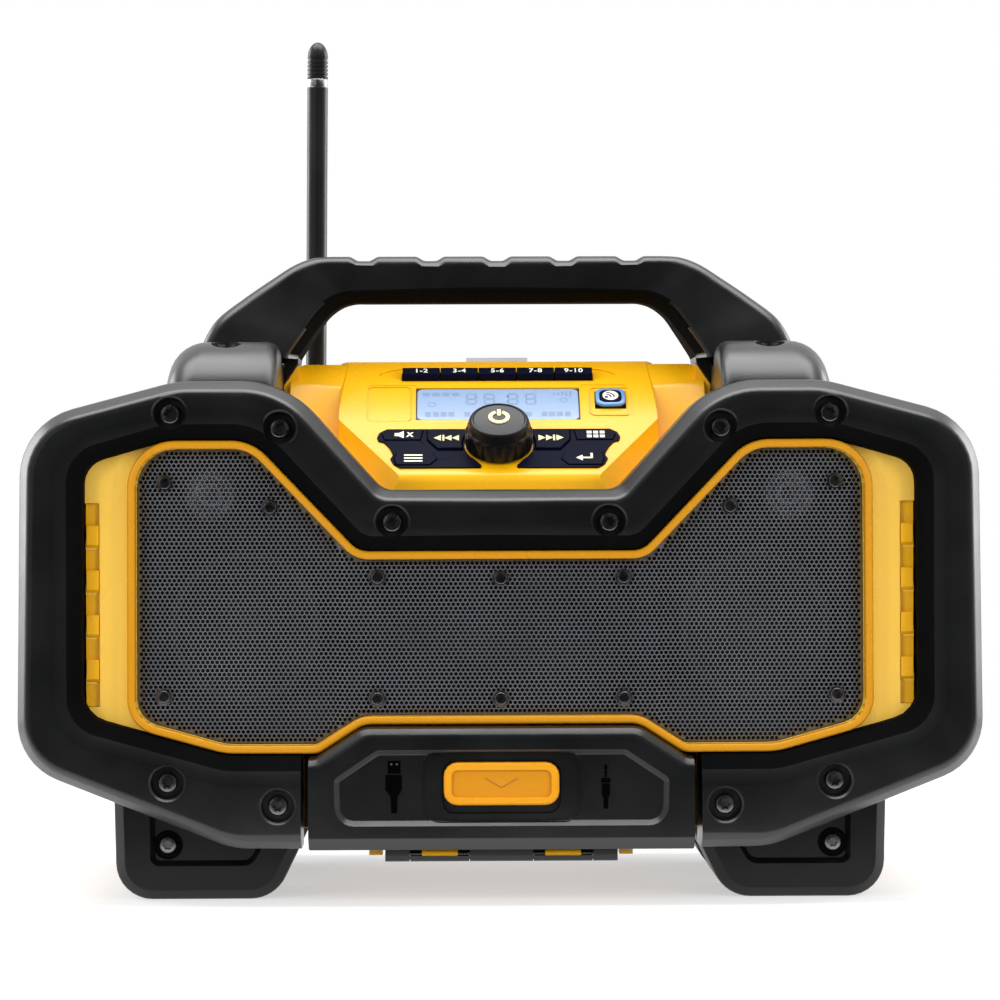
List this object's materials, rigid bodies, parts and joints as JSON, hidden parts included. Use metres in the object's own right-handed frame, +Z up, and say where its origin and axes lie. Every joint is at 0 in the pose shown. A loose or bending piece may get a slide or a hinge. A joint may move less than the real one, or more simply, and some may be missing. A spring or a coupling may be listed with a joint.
{
  "type": "jobsite radio",
  "caption": "Rugged two-speaker radio in a rubber roll cage, with a sloping control panel, carrying handle, fold-down aerial and a latched device bay.",
  "frame": {"origin": "on the floor, under the middle of the radio's box", "axes": "+X to the right seen from the front, -Y out of the front, +Z up"},
  "size_m": [0.4894, 0.26, 0.464],
  "materials": {
    "yellow_plastic": "satin moulded ABS",
    "black_rubber": "fine-grained overmoulded rubber",
    "black_plastic": "satin moulded ABS",
    "grille_steel": "black powder coat, perforated",
    "screw_steel": "black oxide",
    "bright_steel": "bright zinc",
    "key_rubber": "smooth navy-black silicone",
    "knob_plastic": "fine satin",
    "lcd_glass": "pale blue backlit display window",
    "blue_rim": "gloss",
    "paper_cone": "matt pulp",
    "chrome_trim": "polished",
    "circuit_board": "solder mask",
    "grey_plastic": "satin moulded ABS",
    "latch_yellow": "satin moulded ABS"
  },
  "bodies": {
    "chassis": {"front_housing": "yellow_plastic", "front_frame": "yellow_plastic", "rear_housing": "yellow_plastic", "console": "yellow_plastic", "ridge_cap": "grey_plastic", "front_bumper": "black_rubber", "rear_bumper": "black_rubber", "rail_left": "black_rubber", "rail_right": "black_rubber", "handle": "black_rubber", "foot_front_left": "black_rubber", "foot_front_right": "black_rubber", "foot_rear_left": "black_rubber", "foot_rear_right": "black_rubber", "speaker_grille": "grille_steel", "grille_screws": "screw_steel", "front_screws": "screw_steel", "rear_screws": "screw_steel", "rail_bolts": "screw_steel", "power_supply": "bright_steel", "usb_port": "bright_steel", "aerial_pivot": "bright_steel", "woofer_left": "black_plastic", "woofer_right": "black_plastic", "mains_inlet": "black_plastic", "battery_terminals": "black_plastic", "bay_liner": "black_plastic", "bay_back": "black_plastic", "aux_jack": "black_plastic", "speaker_baffle": "black_plastic", "aerial_base": "black_plastic", "speaker_cones": "paper_cone", "tweeters": "chrome_trim", "lcd_lens": "lcd_glass", "keypad_bezels": "key_rubber", "wireless_bezel": "blue_rim", "control_board": "circuit_board", "main_board": "circuit_board"},
    "door_body": {"door": "black_rubber", "hinge_pins": "bright_steel", "latch_spring": "bright_steel"},
    "latch_body": {"latch": "latch_yellow"},
    "plunger": {"encoder_shaft": "bright_steel"},
    "knob_body": {"knob": "knob_plastic"},
    "aerial": {"aerial_knuckle": "black_plastic", "aerial_sleeve": "black_plastic", "aerial_ferrule": "bright_steel", "aerial_cap": "black_plastic"},
    "preset_key_1_body": {"preset_key_1": "key_rubber"},
    "preset_key_2_body": {"preset_key_2": "key_rubber"},
    "preset_key_3_body": {"preset_key_3": "key_rubber"},
    "preset_key_4_body": {"preset_key_4": "key_rubber"},
    "preset_key_5_body": {"preset_key_5": "key_rubber"},
    "mute_key_body": {"mute_key": "key_rubber"},
    "menu_key_body": {"menu_key": "key_rubber"},
    "seek_back_key_body": {"seek_back_key": "key_rubber"},
    "seek_forward_key_body": {"seek_forward_key": "key_rubber"},
    "mode_key_body": {"mode_key": "key_rubber"},
    "enter_key_body": {"enter_key": "key_rubber"},
    "wireless_key_body": {"wireless_key": "key_rubber"}
  },
  "joints": [
    {"name": "door_hinge", "type": "hinge", "parent": "chassis", "child": "door_body", "pos_m": [0, -0.114, 0.0254], "axis": [1, 0, 0], "range_deg": [0, 90]},
    {"name": "latch_slide", "type": "slide", "parent": "door_body", "child": "latch_body", "axis": [0, 0, -1], "range_m": [0, 0.004], "stiffness_N_per_m": 600, "springref_m": -0.003},
    {"name": "knob_push", "type": "slide", "parent": "chassis", "child": "plunger", "axis": [0, 0.5934, -0.8049], "range_m": [0, 0.001], "stiffness_N_per_m": 2500, "springref_m": -0.0006},
    {"name": "knob_turn", "type": "hinge", "parent": "plunger", "child": "knob_body", "pos_m": [0, -0.07005, 0.23323], "axis": [0, -0.5934, 0.8049], "continuous": true},
    {"name": "aerial_fold", "type": "hinge", "parent": "chassis", "child": "aerial", "pos_m": [-0.1011, 0.078, 0.268], "axis": [0, 1, 0], "range_deg": [0, 88]},
    {"name": "preset_key_1_press", "type": "slide", "parent": "chassis", "child": "preset_key_1_body", "axis": [0, 0.5934, -0.8049], "range_m": [0, 0.001], "stiffness_N_per_m": 1200, "springref_m": -0.0003},
    {"name": "preset_key_2_press", "type": "slide", "parent": "chassis", "child": "preset_key_2_body", "axis": [0, 0.5934, -0.8049], "range_m": [0, 0.001], "stiffness_N_per_m": 1200, "springref_m": -0.0003},
    {"name": "preset_key_3_press", "type": "slide", "parent": "chassis", "child": "preset_key_3_body", "axis": [0, 0.5934, -0.8049], "range_m": [0, 0.001], "stiffness_N_per_m": 1200, "springref_m": -0.0003},
    {"name": "preset_key_4_press", "type": "slide", "parent": "chassis", "child": "preset_key_4_body", "axis": [0, 0.5934, -0.8049], "range_m": [0, 0.001], "stiffness_N_per_m": 1200, "springref_m": -0.0003},
    {"name": "preset_key_5_press", "type": "slide", "parent": "chassis", "child": "preset_key_5_body", "axis": [0, 0.5934, -0.8049], "range_m": [0, 0.001], "stiffness_N_per_m": 1200, "springref_m": -0.0003},
    {"name": "mute_key_press", "type": "slide", "parent": "chassis", "child": "mute_key_body", "axis": [0, 0.5934, -0.8049], "range_m": [0, 0.001], "stiffness_N_per_m": 1200, "springref_m": -0.0003},
    {"name": "menu_key_press", "type": "slide", "parent": "chassis", "child": "menu_key_body", "axis": [0, 0.5934, -0.8049], "range_m": [0, 0.001], "stiffness_N_per_m": 1200, "springref_m": -0.0003},
    {"name": "seek_back_key_press", "type": "slide", "parent": "chassis", "child": "seek_back_key_body", "axis": [0, 0.5934, -0.8049], "range_m": [0, 0.001], "stiffness_N_per_m": 1200, "springref_m": -0.0003},
    {"name": "seek_forward_key_press", "type": "slide", "parent": "chassis", "child": "seek_forward_key_body", "axis": [0, 0.5934, -0.8049], "range_m": [0, 0.001], "stiffness_N_per_m": 1200, "springref_m": -0.0003},
    {"name": "mode_key_press", "type": "slide", "parent": "chassis", "child": "mode_key_body", "axis": [0, 0.5934, -0.8049], "range_m": [0, 0.001], "stiffness_N_per_m": 1200, "springref_m": -0.0003},
    {"name": "enter_key_press", "type": "slide", "parent": "chassis", "child": "enter_key_body", "axis": [0, 0.5934, -0.8049], "range_m": [0, 0.001], "stiffness_N_per_m": 1200, "springref_m": -0.0003},
    {"name": "wireless_key_press", "type": "slide", "parent": "chassis", "child": "wireless_key_body", "axis": [0, 0.5934, -0.8049], "range_m": [0, 0.001], "stiffness_N_per_m": 1200, "springref_m": -0.0003}
  ]
}
